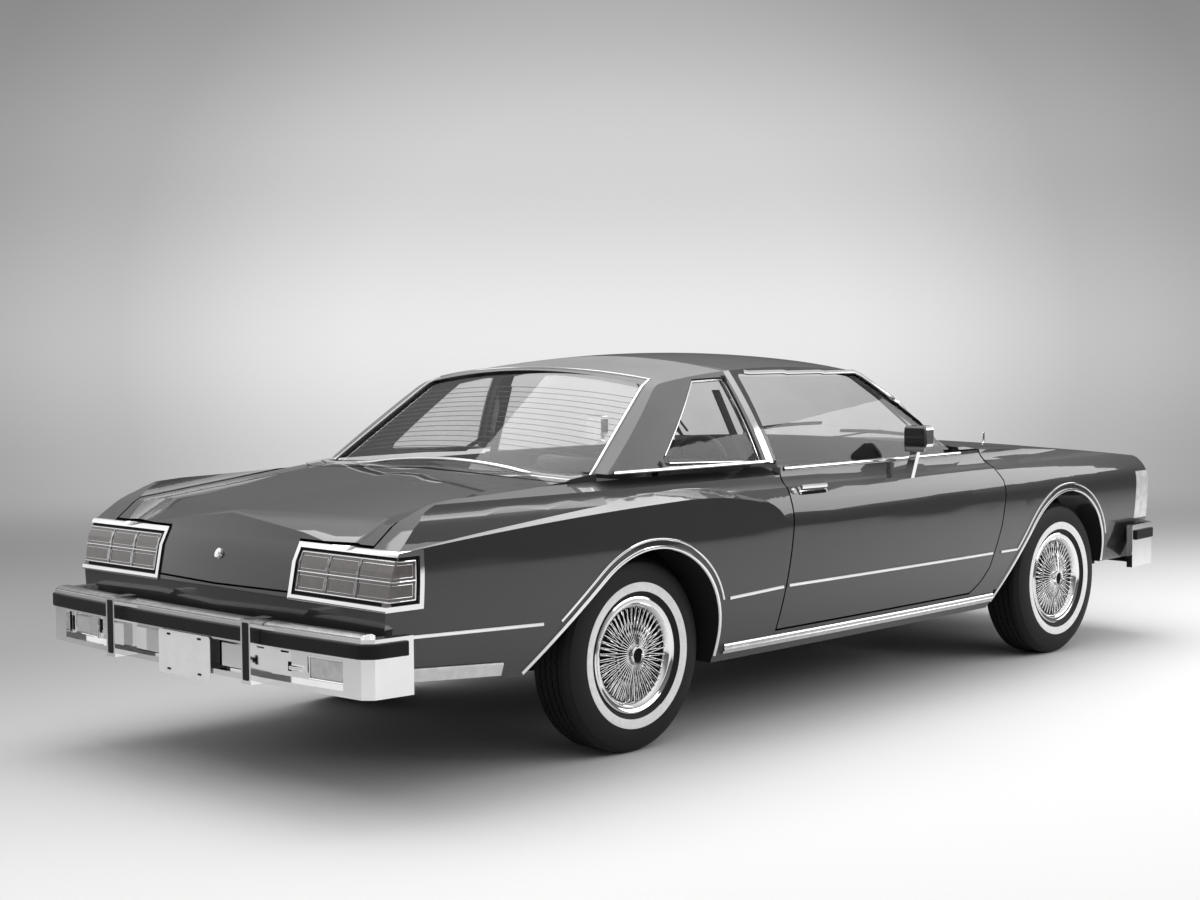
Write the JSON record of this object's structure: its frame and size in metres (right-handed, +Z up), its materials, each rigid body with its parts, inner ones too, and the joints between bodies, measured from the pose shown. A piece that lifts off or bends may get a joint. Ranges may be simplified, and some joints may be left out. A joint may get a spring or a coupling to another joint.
{
  "type": "midsize two-door coupe car",
  "caption": "Notchback coupe with a landau vinyl rear roof, opera windows, opening doors, hood and trunk lid, and wheels that roll and steer",
  "frame": {"origin": "on the ground under the middle of the car's length and width", "axes": "+X forward, +Y to the car's left, +Z up"},
  "size_m": [5.184, 1.956, 1.4112],
  "materials": {
    "paint": "gloss dark grey",
    "trim_dark": "grained dark plastic",
    "glass": "lightly tinted",
    "steel_dark": "satin black undercoat",
    "engine": "painted casting",
    "chrome": "bright plated",
    "headlamp_glass": "clear pressed glass",
    "upholstery": "soft dark vinyl",
    "vinyl": "fine grained vinyl cloth",
    "lamp_red": "ribbed red lens",
    "tyre": "black with a white wall"
  },
  "bodies": {
    "body": {"cowl": "paint", "dashboard": "trim_dark", "deck_panel": "paint", "door_hinges": "steel_dark", "driveshaft": "steel_dark", "engine": "engine", "floor_pan": "steel_dark", "frame_rails": "steel_dark", "front_bumper": "chrome", "front_fender_left": "paint", "front_fender_right": "paint", "front_header": "paint", "front_lamps": "headlamp_glass", "front_seat_left": "upholstery", "front_seat_right": "upholstery", "front_suspension": "steel_dark", "front_wheelhouses": "steel_dark", "fuel_tank": "steel_dark", "grille": "chrome", "hood_hinges": "steel_dark", "leaf_springs": "steel_dark", "lid_hinges": "steel_dark", "opera_windows": "glass", "parcel_shelf": "paint", "quarter_panel_left": "paint", "quarter_panel_right": "paint", "radiator_support": "steel_dark", "rear_axle": "steel_dark", "rear_bumper": "chrome", "rear_panel": "paint", "rear_seat": "upholstery", "rear_wheelhouses": "steel_dark", "rear_window": "glass", "roof_band": "chrome", "roof_front": "paint", "roof_rear": "vinyl", "sills": "paint", "steering_column": "trim_dark", "tail_lamp_bezels": "chrome", "tail_lamps": "lamp_red", "windshield": "glass"},
    "door_left": {"door_left": "paint", "door_glass_left": "glass", "mirror_left": "chrome"},
    "door_right": {"door_right": "paint", "door_glass_right": "glass", "mirror_right": "chrome"},
    "hood": {"hood": "paint"},
    "trunk_lid": {"trunk_lid": "paint"},
    "steering_wheel": {"steering_wheel": "trim_dark"},
    "knuckle_left": {"knuckle_left": "steel_dark"},
    "knuckle_right": {"knuckle_right": "steel_dark"},
    "wheel_front_left": {"tyre_front_left": "tyre", "wheel_front_left": "chrome"},
    "wheel_front_right": {"tyre_front_right": "tyre", "wheel_front_right": "chrome"},
    "wheel_rear_left": {"tyre_rear_left": "tyre", "wheel_rear_left": "chrome"},
    "wheel_rear_right": {"tyre_rear_right": "tyre", "wheel_rear_right": "chrome"}
  },
  "joints": [
    {"name": "door_left_hinge", "type": "hinge", "parent": "body", "child": "door_left", "pos_m": [0.988, 0.899, 0.7], "axis": [0, 0, -1], "range_deg": [0, 65]},
    {"name": "door_right_hinge", "type": "hinge", "parent": "body", "child": "door_right", "pos_m": [0.988, -0.899, 0.7], "axis": [0, 0, 1], "range_deg": [0, 65]},
    {"name": "hood_hinge", "type": "hinge", "parent": "body", "child": "hood", "pos_m": [1.05, 0, 0.961], "axis": [0, -1, 0], "range_deg": [0, 55]},
    {"name": "trunk_lid_hinge", "type": "hinge", "parent": "body", "child": "trunk_lid", "pos_m": [-1.52, 0, 0.958], "axis": [0, 1, 0], "range_deg": [0, 65]},
    {"name": "steering_wheel_turn", "type": "hinge", "parent": "body", "child": "steering_wheel", "pos_m": [0.455, 0.37, 0.84], "axis": [0.9063, 0, -0.4226], "range_deg": [-540, 540]},
    {"name": "steer_left", "type": "hinge", "parent": "body", "child": "knuckle_left", "pos_m": [1.6295, 0.7, 0.35], "axis": [0, 0, 1], "range_deg": [-33, 33]},
    {"name": "steer_right", "type": "hinge", "parent": "body", "child": "knuckle_right", "pos_m": [1.6295, -0.7, 0.35], "axis": [0, 0, 1], "range_deg": [-33, 33]},
    {"name": "front_left_spin", "type": "hinge", "parent": "knuckle_left", "child": "wheel_front_left", "pos_m": [1.6295, 0.762, 0.35], "axis": [0, 1, 0], "continuous": true},
    {"name": "rear_left_spin", "type": "hinge", "parent": "body", "child": "wheel_rear_left", "pos_m": [-1.2335, 0.743, 0.35], "axis": [0, 1, 0], "continuous": true},
    {"name": "front_right_spin", "type": "hinge", "parent": "knuckle_right", "child": "wheel_front_right", "pos_m": [1.6295, -0.762, 0.35], "axis": [0, 1, 0], "continuous": true},
    {"name": "rear_right_spin", "type": "hinge", "parent": "body", "child": "wheel_rear_right", "pos_m": [-1.2335, -0.743, 0.35], "axis": [0, 1, 0], "continuous": true}
  ],
  "couplings": [
    {"joint": "steer_right", "follows": "steer_left", "ratio": 1},
    {"joint": "steering_wheel_turn", "follows": "steer_left", "ratio": -16}
  ]
}
